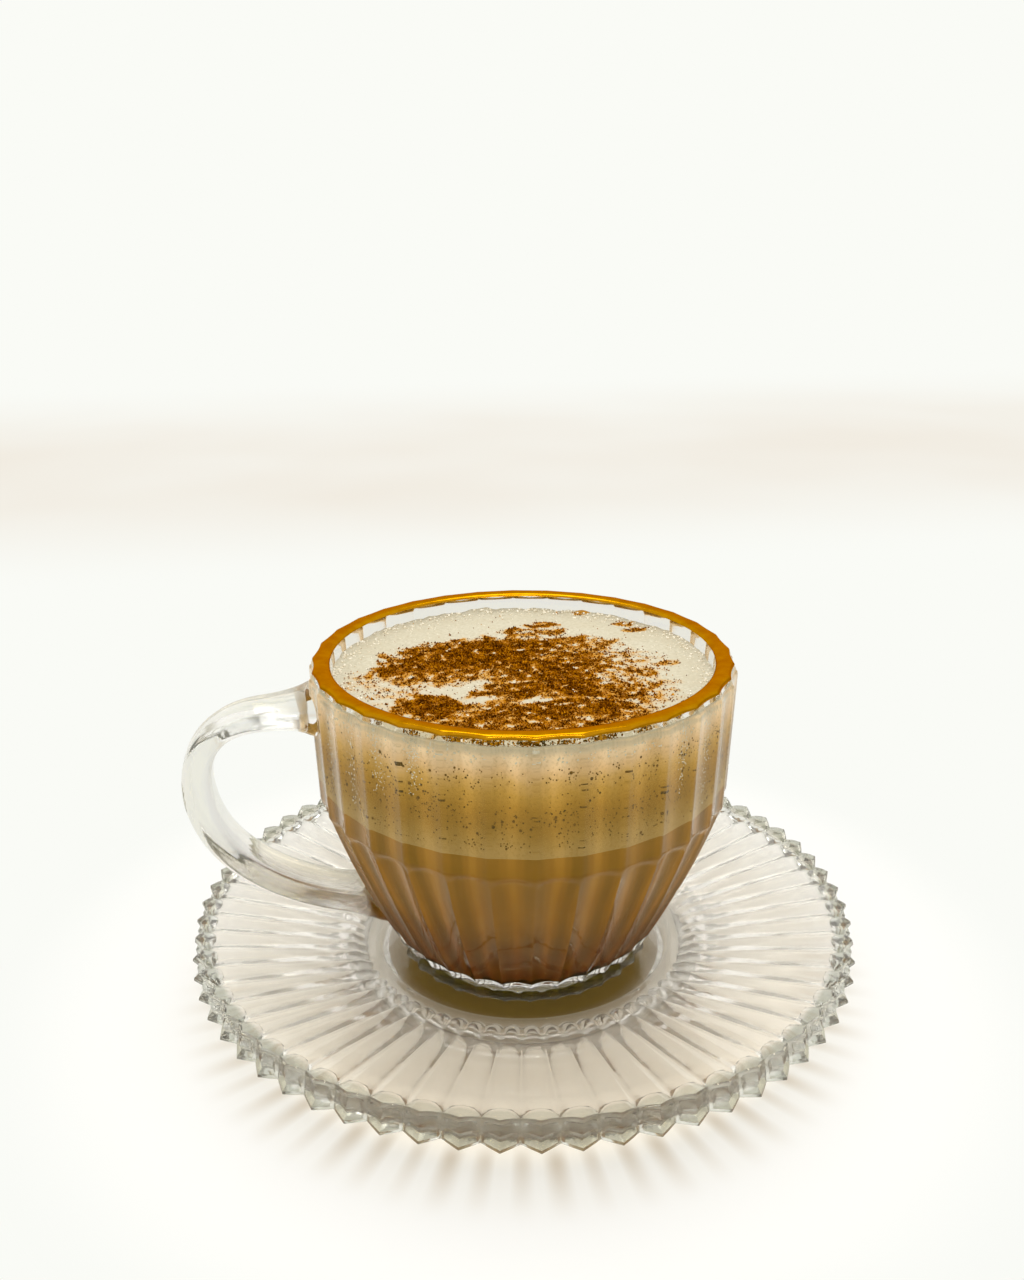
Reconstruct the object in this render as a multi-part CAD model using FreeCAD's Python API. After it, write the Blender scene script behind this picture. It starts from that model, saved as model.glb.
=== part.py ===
import FreeCAD, Part
import math
import os

# Masala chai in a fluted glass cup that stands on a ribbed glass saucer.
# Millimetres. The origin is on the common axis of cup and saucer, at the height of the table,
# +Z is up and the handle points to -X.
#
# Pieces, one STEP file each:
#   saucer      pressed glass, ribbed flange, toothed edge, flat recess that takes the cup's foot
#   glass_cup   pressed glass, fluted outside and smooth inside, with its handle
#   chai        the spiced tea, from the bottom of the cup to the underside of the froth
#   froth       the milk froth that lies on the tea and shows through the wall

# ---------------------------------------------------------------- saucer
SAUCER_DIAMETER = 142.4       # over the tips of the teeth
TOOTH_COUNT = 64
TOOTH_DEPTH = 1.9             # tip to notch, measured on the radius
TOOTH_FACE = 6.0              # height of the bevelled edge
TOOTH_SLANT = 1.2             # the foot of a tooth stands out this far past its top
BEAD_WIDTH = 3.4              # from the fold to the top of a tooth
BEAD_RISE = 0.8
SAUCER_TURN = -0.66           # degrees, a tooth's tip from the -Y axis
RIB_DEPTH = 0.8               # of the flange ribs
FLANGE_RISE = 5.2             # from the flange's inner edge up to the fold
FLANGE_THICKNESS = 4.4
WELL_WALL_WIDTH = 4.6         # the steep ribbed wall between the smooth band and the flange
WELL_WALL_RISE = 1.7
WELL_RIB = 1.0                # how far that wall's ribs reach inward
BAND_WIDTH = 3.4              # smooth band round the recess
BAND_RISE = 1.3               # above the recess floor
RECESS_EDGE = 1.0             # width of the step round the recess
RECESS_EDGE_SHARE = 0.8       # of the band's rise that the step takes
RECESS_CLEARANCE = 4.2        # from the cup's foot to the edge of the recess
RECESS_FLOOR = 6.0            # height above the table
FOOT_RING_OFFSET = 1.4        # middle of the saucer's foot ring, out from the edge of the recess
FOOT_RING_WIDTH = 3.0
FOOT_RING_SLOPE = 1.2
SAUCER_UNDERCUT = 1.5         # height of the hollow inside the foot ring

# ---------------------------------------------------------------- cup
CUP_HEIGHT = 66.0
RIM_RADIUS = 42.5             # outer edge of the polished rim
RIM_WIDTH = 3.6
RIM_ROUND = 0.6
FLUTE_COUNT = 32
UPPER_FLUTE_DEPTH = 0.7       # on the upright wall
LOWER_FLUTE_DEPTH = 1.1       # on the cone
CREST_OVER_RIM = 1.1          # the ridges stand out this far past the rim
CREST_DROP = 3.0              # from the rim down to where the ridges are full
UPPER_TAPER = 1.0             # the upright wall draws in by this much down to the shoulder
SHOULDER_HEIGHT = 37.0        # above the cup's base
SHOULDER_BEND = 3.0           # height of the bend over the shoulder
SHOULDER_STEP = 0.5           # the bend draws in by this much
FOOT_RADIUS = 27.4
FOOT_HEIGHT = 3.4
FOOT_CHAMFER = 1.1
FOOT_FLUTE_DEPTH = 0.9
CONE_BULGE = 1.0              # the cone swells past a straight line by this much
CONE_STEPS = 4
WALL = 3.4                    # from the grooves to the smooth inside
BASE_THICKNESS = 4.6
BASE_HOLLOW = 0.8             # shallow hollow under the base
BASE_RING_WIDTH = 4.0
INNER_CORNER_RADIUS = 3.0

# ---------------------------------------------------------------- handle
HANDLE_REACH = 24.4           # furthest that its middle line stands off the cup's wall
HANDLE_UPPER_DROP = 9.8       # from the rim down to the middle of the upper joint
HANDLE_LOWER_HEIGHT = 12.1    # from the cup's base up to the middle of the lower joint
HANDLE_WIDTH = 11.0
HANDLE_ROOT_WIDTH = 13.0
HANDLE_TOP_THICKNESS = 5.0    # thinnest, on the upper arm
HANDLE_SIDE_THICKNESS = 6.8
HANDLE_ROOT_THICKNESS = 8.4
HANDLE_STATIONS = 15
# The middle line, from the upper joint round to the lower one: stand-off from the wall as a
# share of the reach, and height as a share of the way from the lower joint to the upper one.
# It starts and ends inside the wall.
HANDLE_LINE = (
    (-0.31, 1.00),
    (-0.06, 1.00),
    (0.29, 0.993),
    (0.62, 0.965),
    (0.87, 0.866),
    (0.985, 0.690),
    (1.00, 0.508),
    (0.95, 0.340),
    (0.785, 0.200),
    (0.55, 0.100),
    (0.295, 0.040),
    (0.074, 0.012),
    (-0.20, 0.00),
)

# ---------------------------------------------------------------- drink
FROTH_BELOW_RIM = 4.2         # free glass above the froth
CHAI_DEPTH = 36.0             # from the inside bottom to the underside of the froth
WALL_GAP = 0.1                # the drink's solids stay this far inside the glass

LEVEL_TOLERANCE = 1e-6

Z_AXIS = FreeCAD.Vector(0, 0, 1)
ORIGIN = FreeCAD.Vector(0, 0, 0)

cup_base = RECESS_FLOOR
cup_top = cup_base + CUP_HEIGHT
foot_top = cup_base + FOOT_HEIGHT
shoulder = cup_base + SHOULDER_HEIGHT
crest_height = cup_top - CREST_DROP
crest_radius = RIM_RADIUS + CREST_OVER_RIM
bend_radius = crest_radius - UPPER_TAPER
shoulder_radius = bend_radius - SHOULDER_STEP
rim_inner = RIM_RADIUS - RIM_WIDTH
inside_bottom = cup_base + BASE_THICKNESS
froth_top = cup_top - FROTH_BELOW_RIM
froth_bottom = inside_bottom + CHAI_DEPTH


def polar(radius, degrees, height):
    angle = math.radians(degrees)
    return FreeCAD.Vector(radius * math.cos(angle), radius * math.sin(angle), height)


def ring(corner_radius, corner_height, middle_radius=None, middle_height=None, pointed=False):
    """One closed ring of equal periods: each runs from corner to corner through a middle point."""
    if middle_radius is None:
        middle_radius = corner_radius
    if middle_height is None:
        middle_height = corner_height
    return (corner_radius, corner_height, middle_radius, middle_height, pointed)


def ring_edges(shape, count, turn, halved):
    """Edges of a ring: an arc for each period, or two half arcs, or two straight lines to a point."""
    corner_radius, corner_height, middle_radius, middle_height, pointed = shape
    step = 360.0 / count
    edges = []
    for index in range(count):
        start = turn + index * step
        first = polar(corner_radius, start, corner_height)
        middle = polar(middle_radius, start + step / 2, middle_height)
        last = polar(corner_radius, start + step, corner_height)
        if pointed:
            edges.append(Part.LineSegment(first, middle).toShape())
            edges.append(Part.LineSegment(middle, last).toShape())
            continue
        arc = Part.Arc(first, middle, last)
        if not halved:
            edges.append(arc.toShape())
            continue
        start_value = arc.FirstParameter
        end_value = arc.LastParameter
        first_quarter = arc.value(start_value + (end_value - start_value) / 4)
        last_quarter = arc.value(end_value - (end_value - start_value) / 4)
        edges.append(Part.Arc(first, first_quarter, middle).toShape())
        edges.append(Part.Arc(middle, last_quarter, last).toShape())
    return edges


def is_level(upper, lower):
    """True where two rings lie in one level plane, so that the face between them is flat."""
    heights = (upper[1], upper[3], lower[1], lower[3])
    return max(heights) - min(heights) < LEVEL_TOLERANCE


def skin(rings, count, turn):
    """Solid whose surface runs from ring to ring; the first and last rings are flat ends."""
    halved = any(shape[4] for shape in rings)
    rows = [ring_edges(shape, count, turn, halved) for shape in rings]
    faces = [Part.Face(Part.Wire(rows[0])), Part.Face(Part.Wire(rows[-1]))]
    for index in range(len(rings) - 1):
        upper = rows[index]
        lower = rows[index + 1]
        if is_level(rings[index], rings[index + 1]):
            outer = Part.Face(Part.Wire(upper))
            inner = Part.Face(Part.Wire(lower))
            faces += outer.cut(inner).Faces
            continue
        for first, second in zip(upper, lower):
            faces.append(Part.makeRuledSurface(first, second))
    shell = Part.makeShell(faces)
    shell.sewShape()
    solid = Part.makeSolid(shell)
    if solid.Volume < 0:
        solid.reverse()
    return solid


def revolve(points):
    """Solid of revolution from an outline of (radius, height) points about the Z axis."""
    outline = [FreeCAD.Vector(radius, 0, height) for radius, height in points]
    wire = Part.makePolygon(outline + [outline[0]])
    return Part.Face(wire).revolve(ORIGIN, Z_AXIS, 360)


def rounded_corner(centre, radius, first_degrees, last_degrees, steps=6):
    """Points of an arc about a (radius, height) centre, for a rounded corner in an outline."""
    points = []
    for index in range(steps + 1):
        angle = math.radians(first_degrees + (last_degrees - first_degrees) * index / steps)
        points.append((centre[0] + radius * math.cos(angle), centre[1] + radius * math.sin(angle)))
    return points


# ---------------------------------------------------------------- saucer

def make_saucer():
    tip = SAUCER_DIAMETER / 2
    tooth_top = tip - TOOTH_SLANT
    fold = tooth_top - BEAD_WIDTH
    recess = FOOT_RADIUS + RECESS_CLEARANCE
    well = recess + RECESS_EDGE + BAND_WIDTH
    flange = well + WELL_WALL_WIDTH
    ring_outer = recess + FOOT_RING_OFFSET + FOOT_RING_WIDTH / 2
    ring_inner = ring_outer - FOOT_RING_WIDTH

    band_height = RECESS_FLOOR + BAND_RISE
    flange_height = band_height + WELL_WALL_RISE
    fold_height = flange_height + FLANGE_RISE
    saucer_height = fold_height + BEAD_RISE
    edge_bottom = saucer_height - TOOTH_FACE
    step_height = RECESS_FLOOR + BAND_RISE * RECESS_EDGE_SHARE

    rings = [
        ring(recess, RECESS_FLOOR),
        ring(recess + RECESS_EDGE, step_height),
        ring(well, band_height, well - WELL_RIB, band_height),
        ring(flange, flange_height - RIB_DEPTH, flange - WELL_RIB, flange_height),
        ring(fold, fold_height - RIB_DEPTH, fold, fold_height),
        ring(tooth_top - TOOTH_DEPTH / 2, saucer_height - RIB_DEPTH, tooth_top, saucer_height, True),
        ring(tip - TOOTH_DEPTH, edge_bottom, tip, edge_bottom, True),
        ring(fold, fold_height - FLANGE_THICKNESS),
        ring(flange, flange_height - FLANGE_THICKNESS),
        ring(ring_outer + FOOT_RING_SLOPE, FOOT_RING_SLOPE),
        ring(ring_outer, 0),
        ring(ring_inner, 0),
        ring(ring_inner - FOOT_RING_SLOPE, SAUCER_UNDERCUT),
    ]
    half_tooth = 180.0 / TOOTH_COUNT
    return skin(rings, TOOTH_COUNT, SAUCER_TURN - 90 - half_tooth)


# ---------------------------------------------------------------- cup

def cone_radius(height):
    """Ridge radius on the cone, between the foot and the shoulder."""
    share = (height - foot_top) / (shoulder - foot_top)
    straight = FOOT_RADIUS + (shoulder_radius - FOOT_RADIUS) * share
    return straight + CONE_BULGE * math.sin(math.pi * share)


def ridge_radius(height):
    """Ridge radius at any height between the foot and the crest."""
    if height <= shoulder:
        return cone_radius(height)
    bend_top = shoulder + SHOULDER_BEND
    if height <= bend_top:
        return shoulder_radius + SHOULDER_STEP * (height - shoulder) / SHOULDER_BEND
    return bend_radius + UPPER_TAPER * (height - bend_top) / (crest_height - bend_top)


def fluted(radius, height, depth):
    """Ring of flutes: ridges at the radius, grooves cut in to the depth."""
    return ring(radius, height, radius - depth, height)


def fluted_body():
    """Outside of the cup as a solid block, from the rim down to the hollow under the base."""
    rings = [
        ring(RIM_RADIUS - RIM_ROUND, cup_top),
        fluted(RIM_RADIUS, cup_top - RIM_ROUND, UPPER_FLUTE_DEPTH / 2),
        fluted(crest_radius, crest_height, UPPER_FLUTE_DEPTH),
        fluted(bend_radius, shoulder + SHOULDER_BEND, UPPER_FLUTE_DEPTH),
    ]
    for index in range(CONE_STEPS + 1):
        height = shoulder + (foot_top - shoulder) * index / CONE_STEPS
        rings.append(fluted(cone_radius(height), height, LOWER_FLUTE_DEPTH))
    base_radius = FOOT_RADIUS - FOOT_CHAMFER
    hollow_radius = base_radius - BASE_RING_WIDTH
    rings += [
        fluted(FOOT_RADIUS, cup_base + FOOT_CHAMFER, FOOT_FLUTE_DEPTH),
        fluted(base_radius, cup_base, FOOT_FLUTE_DEPTH / 2),
        ring(hollow_radius, cup_base),
        ring(hollow_radius - BASE_HOLLOW, cup_base + BASE_HOLLOW),
    ]
    # The handle sits in the middle of a groove, so the ridges start half a flute from it.
    half_flute = 180.0 / FLUTE_COUNT
    return skin(rings, FLUTE_COUNT, 180 + half_flute)


def inner_wall():
    """(radius, height) points of the smooth inside, from the bottom's rounded corner to the rim."""
    corner_top = inside_bottom + INNER_CORNER_RADIUS
    inset = LOWER_FLUTE_DEPTH + WALL
    centre = (cone_radius(corner_top) - inset - INNER_CORNER_RADIUS, corner_top)
    points = rounded_corner(centre, INNER_CORNER_RADIUS, -90, 0)
    for index in range(1, CONE_STEPS + 1):
        height = corner_top + (shoulder - corner_top) * index / CONE_STEPS
        points.append((cone_radius(height) - inset, height))
    points.append((shoulder_radius - UPPER_FLUTE_DEPTH - WALL, shoulder + SHOULDER_BEND))
    points.append((rim_inner, cup_top - RIM_ROUND))
    points.append((rim_inner + RIM_ROUND, cup_top))
    return points


def inner_radius(height):
    """Inside radius at a height, on the straight line between two points of the inside."""
    points = inner_wall()
    for (radius_a, height_a), (radius_b, height_b) in zip(points, points[1:]):
        if height_a <= height <= height_b:
            return radius_a + (radius_b - radius_a) * (height - height_a) / (height_b - height_a)
    raise ValueError("no inside wall at this height")


def fill(bottom, top, gap):
    """Solid that fills the inside between two heights, drawn in from the wall by the gap."""
    outline = [(0, bottom), (inner_radius(bottom) - gap, bottom)]
    for radius, height in inner_wall():
        if bottom < height < top:
            outline.append((radius - gap, height))
    outline += [(inner_radius(top) - gap, top), (0, top)]
    return revolve(outline)


def handle_section(curve, share):
    """Oval section of the handle at a share of its length, square to the middle line."""
    first = curve.FirstParameter
    last = curve.LastParameter
    parameter = first + (last - first) * share
    point = curve.value(parameter)
    along = curve.tangent(parameter)[0]
    root = max(0.0, (abs(2 * share - 1) - 0.7) / 0.3) ** 2
    upper = max(0.0, 1 - abs(share - 0.25) / 0.2)
    width = HANDLE_WIDTH + (HANDLE_ROOT_WIDTH - HANDLE_WIDTH) * root
    thickness = HANDLE_SIDE_THICKNESS
    thickness += (HANDLE_TOP_THICKNESS - HANDLE_SIDE_THICKNESS) * upper
    thickness += (HANDLE_ROOT_THICKNESS - HANDLE_SIDE_THICKNESS) * root
    across = FreeCAD.Vector(0, width / 2, 0)
    outward = along.cross(FreeCAD.Vector(0, 1, 0)) * (thickness / 2)
    ellipse = Part.Ellipse(point + across, point + outward, point)
    return Part.Wire(ellipse.toShape())


def make_handle():
    lower = cup_base + HANDLE_LOWER_HEIGHT
    upper = cup_top - HANDLE_UPPER_DROP
    points = []
    for stand_off, share in HANDLE_LINE:
        height = lower + (upper - lower) * share
        reach = ridge_radius(height) + HANDLE_REACH * stand_off
        points.append(FreeCAD.Vector(-reach, 0, height))
    curve = Part.BSplineCurve()
    curve.interpolate(points)
    sections = []
    for index in range(HANDLE_STATIONS):
        sections.append(handle_section(curve, index / (HANDLE_STATIONS - 1)))
    return Part.makeLoft(sections, True, False)


def make_cup():
    """The cavity is cut last, so it also clears the roots of the handle out of the inside."""
    body = fluted_body().fuse(make_handle())
    return body.cut(fill(inside_bottom, cup_top, 0))


# ---------------------------------------------------------------- drink

def make_chai():
    return fill(inside_bottom, froth_bottom, WALL_GAP)


def make_froth():
    return fill(froth_bottom, froth_top, WALL_GAP)


def write(name, shape):
    """Write one piece, which has to be one valid solid."""
    if len(shape.Solids) != 1 or not shape.isValid():
        raise ValueError(name + " is not one valid solid")
    shape.Solids[0].exportStep("parts/" + name + ".step")
    print(name, "volume in cm3:", round(shape.Volume / 1000, 1))


os.makedirs("parts", exist_ok=True)
write("saucer", make_saucer())
write("glass_cup", make_cup())
write("chai", make_chai())
write("froth", make_froth())
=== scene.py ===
import math
import random

import bpy
import numpy as np
from mathutils import Matrix, Vector, noise


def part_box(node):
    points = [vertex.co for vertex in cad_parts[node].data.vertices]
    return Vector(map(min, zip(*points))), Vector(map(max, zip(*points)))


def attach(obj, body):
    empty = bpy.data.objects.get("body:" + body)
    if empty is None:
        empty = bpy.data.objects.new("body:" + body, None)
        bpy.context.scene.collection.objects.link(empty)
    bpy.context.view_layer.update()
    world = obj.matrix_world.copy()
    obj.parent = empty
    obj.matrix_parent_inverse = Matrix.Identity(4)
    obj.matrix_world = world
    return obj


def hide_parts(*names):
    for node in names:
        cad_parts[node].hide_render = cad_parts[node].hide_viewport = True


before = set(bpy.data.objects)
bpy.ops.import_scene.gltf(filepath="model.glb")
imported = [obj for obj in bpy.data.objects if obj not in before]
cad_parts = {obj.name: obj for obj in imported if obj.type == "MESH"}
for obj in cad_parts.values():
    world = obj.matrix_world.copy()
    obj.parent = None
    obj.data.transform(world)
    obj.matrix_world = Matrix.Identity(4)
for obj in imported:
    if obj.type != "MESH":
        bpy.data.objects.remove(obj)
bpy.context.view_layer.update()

# Masala chai in a fluted glass cup with a gilt rim, on a ribbed glass saucer.
# Sizes below are in millimetres and become metres when a mesh is made.
MM = 0.001
TAU = 2 * math.pi
DRAW = random.Random(41)

# ---- sizes taken from the CAD
cup_low, cup_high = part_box("glass_cup")
saucer_low, saucer_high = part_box("saucer")
chai_low, chai_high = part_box("chai")
froth_low, froth_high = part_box("froth")

CUP_BASE = cup_low.z / MM
CUP_TOP = cup_high.z / MM
INSIDE_BOTTOM = chai_low.z / MM
FROTH_BOTTOM = froth_low.z / MM
FROTH_TOP = froth_high.z / MM
SAUCER_TOP = saucer_high.z / MM
SAUCER_TIP = saucer_high.x / MM

# ---- cup
FLUTES = 32
FLUTE_COLUMNS = 16
UPPER_DEPTH = 0.75
LOWER_DEPTH = 1.25
FOOT_TOP = CUP_BASE + 3.4
SHOULDER = CUP_BASE + 37.0
ARCH_BASE = SHOULDER - 0.6      # the cone's flutes end in arches just under the shoulder
ARCH_RISE = 2.4
ARCH_STEP = 0.9
FOOT_RADIUS = 27.4
SHOULDER_RADIUS = 42.1
BEND_RADIUS = 42.6
CREST_RADIUS = 43.45
RIM_RADIUS = 42.5
CONE_BULGE = 1.0
CREST_HEIGHT = CUP_TOP - 3.0
GLASS_TOP = CUP_TOP - 0.1
CUP_SMOOTH = 50                 # degrees
SCALLOP_POWER = 1.8
INNER_CORNER = 3.0              # radius between the wall and the bottom inside
INNER_RADIUS = 38.0             # of the upright wall's inside, at the shoulder
INNER_FLARE = 0.9
CONE_WALL = 4.5                 # from the cone's ridges to the smooth inside
# Height over the base, ridge radius, flute depth.
FOOT_PROFILE = (
    (0.8, 21.4, 0.0),
    (0.05, 22.2, 0.0),
    (0.0, 22.8, 0.0),
    (0.0, 25.6, 0.2),
    (0.12, 26.2, 0.45),
    (0.45, 26.8, 0.7),
    (0.95, 27.2, 0.85),
    (1.6, 27.4, 0.9),
    (2.3, 27.35, 0.9),
    (2.8, 27.15, 0.9),
    (3.15, 26.85, 0.9),
    (3.4, 26.75, 0.9),
    (3.65, 27.0, 0.95),
    (4.0, 27.45, 1.0),
    (4.5, 27.85, 1.1),
)
# Height below the glass's top, ridge radius, flute depth.
LIP_PROFILE = (
    (2.9, CREST_RADIUS, 0.75),
    (2.4, CREST_RADIUS - 0.03, 0.75),
    (2.05, CREST_RADIUS - 0.15, 0.74),
    (1.8, CREST_RADIUS - 0.42, 0.72),
    (1.5, RIM_RADIUS + 0.5, 0.68),
    (1.1, RIM_RADIUS + 0.3, 0.6),
)
GILT_PROFILE = (
    (0.75, RIM_RADIUS + 0.16, 0.52),
    (0.5, RIM_RADIUS + 0.06, 0.46),
    (0.28, RIM_RADIUS - 0.1, 0.4),
    (0.1, RIM_RADIUS - 0.36, 0.3),
    (0.02, RIM_RADIUS - 0.7, 0.18),
    (0.0, RIM_RADIUS - 1.2, 0.06),
    (0.0, RIM_RADIUS - 1.8, 0.0),
    (0.04, RIM_RADIUS - 2.5, 0.0),
    (0.16, RIM_RADIUS - 3.05, 0.0),
    (0.38, RIM_RADIUS - 3.38, 0.0),
    (0.62, RIM_RADIUS - 3.5, 0.0),
)
INSIDE_LIP = (1.1, RIM_RADIUS - 3.58, 0.0)
GILT_SKIN = 0.05                # the gilding stands off the glass by this much, on both sides

# ---- handle
HANDLE_REACH = 24.4
HANDLE_UPPER = CUP_TOP - 9.8
HANDLE_LOWER = CUP_BASE + 12.1
HANDLE_WIDTH = 11.0
HANDLE_THICKNESS = 6.6
HANDLE_TOP_THICKNESS = 5.2
HANDLE_ROOT_THICKNESS = 7.6
HANDLE_STATIONS = 90
HANDLE_POINTS = 40
ROOT_FLARE = 0.3
ROOT_FLARE_LENGTH = 2.4
SECTION_POWER = 2.7
HANDLE_LINE = (
    (-0.10, 1.000), (0.08, 1.000), (0.29, 0.993), (0.62, 0.965), (0.87, 0.866), (0.985, 0.690),
    (1.00, 0.508), (0.95, 0.340), (0.785, 0.200), (0.55, 0.100), (0.295, 0.040), (0.074, 0.012),
    (-0.10, 0.000),
)

# ---- saucer
TEETH = 64
TOOTH_DEPTH = 1.9
SAUCER_TURN = math.radians(-90.66)   # a tooth's tip
SAUCER_WELL = (                 # radius, height
    (10.0, 6.0), (22.0, 6.0), (31.2, 6.0), (31.6, 6.06), (32.1, 6.45), (32.5, 6.9), (32.9, 7.06),
    (33.6, 7.12), (34.4, 7.2),
)
SAUCER_UNDERSIDE = (
    (66.0, 9.75), (60.0, 8.6), (53.0, 7.2), (46.0, 5.8), (40.8, 4.75), (38.5, 3.6), (36.6, 2.1),
    (35.7, 1.2), (35.1, 0.4), (34.5, 0.05), (34.2, 0.0), (31.8, 0.0), (31.4, 0.08), (30.8, 0.7),
    (30.0, 1.35), (29.0, 1.5), (15.0, 1.5),
)
FLANGE_RADII = (
    39.0, 39.8, 40.6, 41.6, 43.0, 44.6, 46.4, 48.4, 51.0, 54.0, 57.5, 61.0, 64.0, 66.0
)
FLANGE_WIDTH = 27.6
FLANGE_LOW = 8.95               # height of the ribs' inner ends
FLANGE_RISE = 5.25
GROOVE_FADE = 5.5               # the grooves grow shallow over about this much radius
TOOTH_TOP_RADIUS = 69.98
TOOTH_TOP_NOTCH = 1.6
TOOTH_FOOT = 9.25               # height of the teeth's lower edge
SAUCER_SMOOTH = 24              # degrees
RIB_COLUMNS = (-1.0, -0.93, -0.82, -0.6, -0.3, 0.0, 0.3, 0.6, 0.82, 0.93)


def smoothstep(value):
    value = np.clip(value, 0.0, 1.0)
    return value * value * (3 - 2 * value)


def cone_radius(height):
    share = (height - FOOT_TOP) / (SHOULDER - FOOT_TOP)
    swell = CONE_BULGE * np.sin(math.pi * np.clip(share, 0, 1))
    return FOOT_RADIUS + (SHOULDER_RADIUS - FOOT_RADIUS) * share + swell


def ridge_radius(height):
    """Radius of the ridges between the flutes, over the cone and the upright wall."""
    upright_share = (height - SHOULDER - 3) / (CREST_HEIGHT - SHOULDER - 3)
    upright = BEND_RADIUS + (CREST_RADIUS - BEND_RADIUS) * upright_share
    blend = smoothstep((height - SHOULDER + 1.2) / 3.2)
    return cone_radius(np.minimum(height, SHOULDER + 1)) * (1 - blend) + upright * blend


def inner_radius(height):
    """Radius of the smooth inside."""
    corner = INSIDE_BOTTOM + INNER_CORNER
    cone = cone_radius(np.minimum(height, SHOULDER + 1)) - CONE_WALL
    upright_share = (height - SHOULDER - 3) / (CUP_TOP - SHOULDER - 3.6)
    upright = INNER_RADIUS + INNER_FLARE * upright_share
    blend = smoothstep((height - SHOULDER + 1.5) / 5.0)
    wall = cone * (1 - blend) + upright * blend
    below = np.clip((corner - height) / INNER_CORNER, 0, 1)
    return wall - INNER_CORNER * (1 - np.sqrt(1 - below * below))


# ---- meshes

def make_piece(name, vertices, faces, smooth_angle=40.0):
    """Object from vertices in millimetres."""
    mesh = bpy.data.meshes.new(name)
    mesh.from_pydata((np.asarray(vertices) * MM).tolist(), [], faces)
    mesh.validate()
    mesh.update()
    piece = bpy.data.objects.new(name, mesh)
    bpy.context.scene.collection.objects.link(piece)
    mesh.shade_smooth()
    mesh.set_sharp_from_angle(angle=math.radians(smooth_angle))
    return piece


def grid_faces(row_count, column_count, wrap_rows=False):
    """Quads of a grid whose columns go once round."""
    rows = np.arange(row_count if wrap_rows else row_count - 1)
    columns = np.arange(column_count)
    row, column = np.meshgrid(rows, columns, indexing="ij")
    next_row = (row + 1) % row_count
    next_column = (column + 1) % column_count
    corners = (
        row * column_count + column,
        row * column_count + next_column,
        next_row * column_count + next_column,
        next_row * column_count + column,
    )
    return np.stack(corners, axis=-1).reshape(-1, 4).tolist()


def turns_round(count):
    return np.arange(count) * TAU / count


def capped_grid(grid, on_axis=True):
    """Vertices and faces of a closed skin: rings from one pole, on the axis or not, to the other."""
    row_count, column_count, _ = grid.shape
    vertices = grid.reshape(-1, 3).tolist()
    faces = grid_faces(row_count, column_count)
    for row, flip in ((0, True), (row_count - 1, False)):
        pole = len(vertices)
        middle = grid[row].mean(axis=0).tolist()
        vertices.append([0.0, 0.0, middle[2]] if on_axis else middle)
        for column in range(column_count):
            here = row * column_count + column
            beside = row * column_count + (column + 1) % column_count
            faces.append((pole, beside, here) if flip else (pole, here, beside))
    return vertices, faces


class Rings:
    """Rings of a body turned about the axis, in order from its middle round and back to it."""

    def __init__(self, angles):
        self.angles = angles
        self.radii = []
        self.heights = []

    def add(self, radius, height):
        full = np.ones(len(self.angles))
        self.radii.append(full * radius)
        self.heights.append(full * height)

    def grid(self):
        radii = np.array(self.radii)
        x = radii * np.cos(self.angles)
        y = radii * np.sin(self.angles)
        return np.stack([x, y, self.heights], axis=-1)

    def skin(self):
        return capped_grid(self.grid())


def spline_through(points, count):
    """Evenly spaced points on a natural cubic spline through the given points."""
    points = np.asarray(points, float)
    steps = np.linalg.norm(np.diff(points, axis=0), axis=1)
    knots = np.concatenate([[0.0], np.cumsum(steps)])
    widths = np.diff(knots)
    slopes = np.diff(points, axis=0) / widths[:, None]
    system = np.eye(len(points))
    right = np.zeros(points.shape)
    right[1:-1] = 6 * np.diff(slopes, axis=0)
    for i in range(1, len(points) - 1):
        system[i, i - 1:i + 2] = widths[i - 1], 2 * (widths[i - 1] + widths[i]), widths[i]
    bend = np.linalg.solve(system, right)
    result = []
    for value in np.linspace(0, knots[-1], count):
        i = min(max(int(np.searchsorted(knots, value)) - 1, 0), len(widths) - 1)
        a = (knots[i + 1] - value) / widths[i]
        b = (value - knots[i]) / widths[i]
        curve = (a ** 3 - a) * bend[i] + (b ** 3 - b) * bend[i + 1]
        result.append(a * points[i] + b * points[i + 1] + curve * widths[i] * widths[i] / 6)
    return np.array(result)


# ---- node helpers

def linear(red, green, blue):
    """Linear colour of an 8-bit sRGB one."""
    result = []
    for value in (red, green, blue):
        value /= 255
        value = value / 12.92 if value <= 0.04045 else ((value + 0.055) / 1.055) ** 2.4
        result.append(value)
    return (*result, 1.0)


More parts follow.
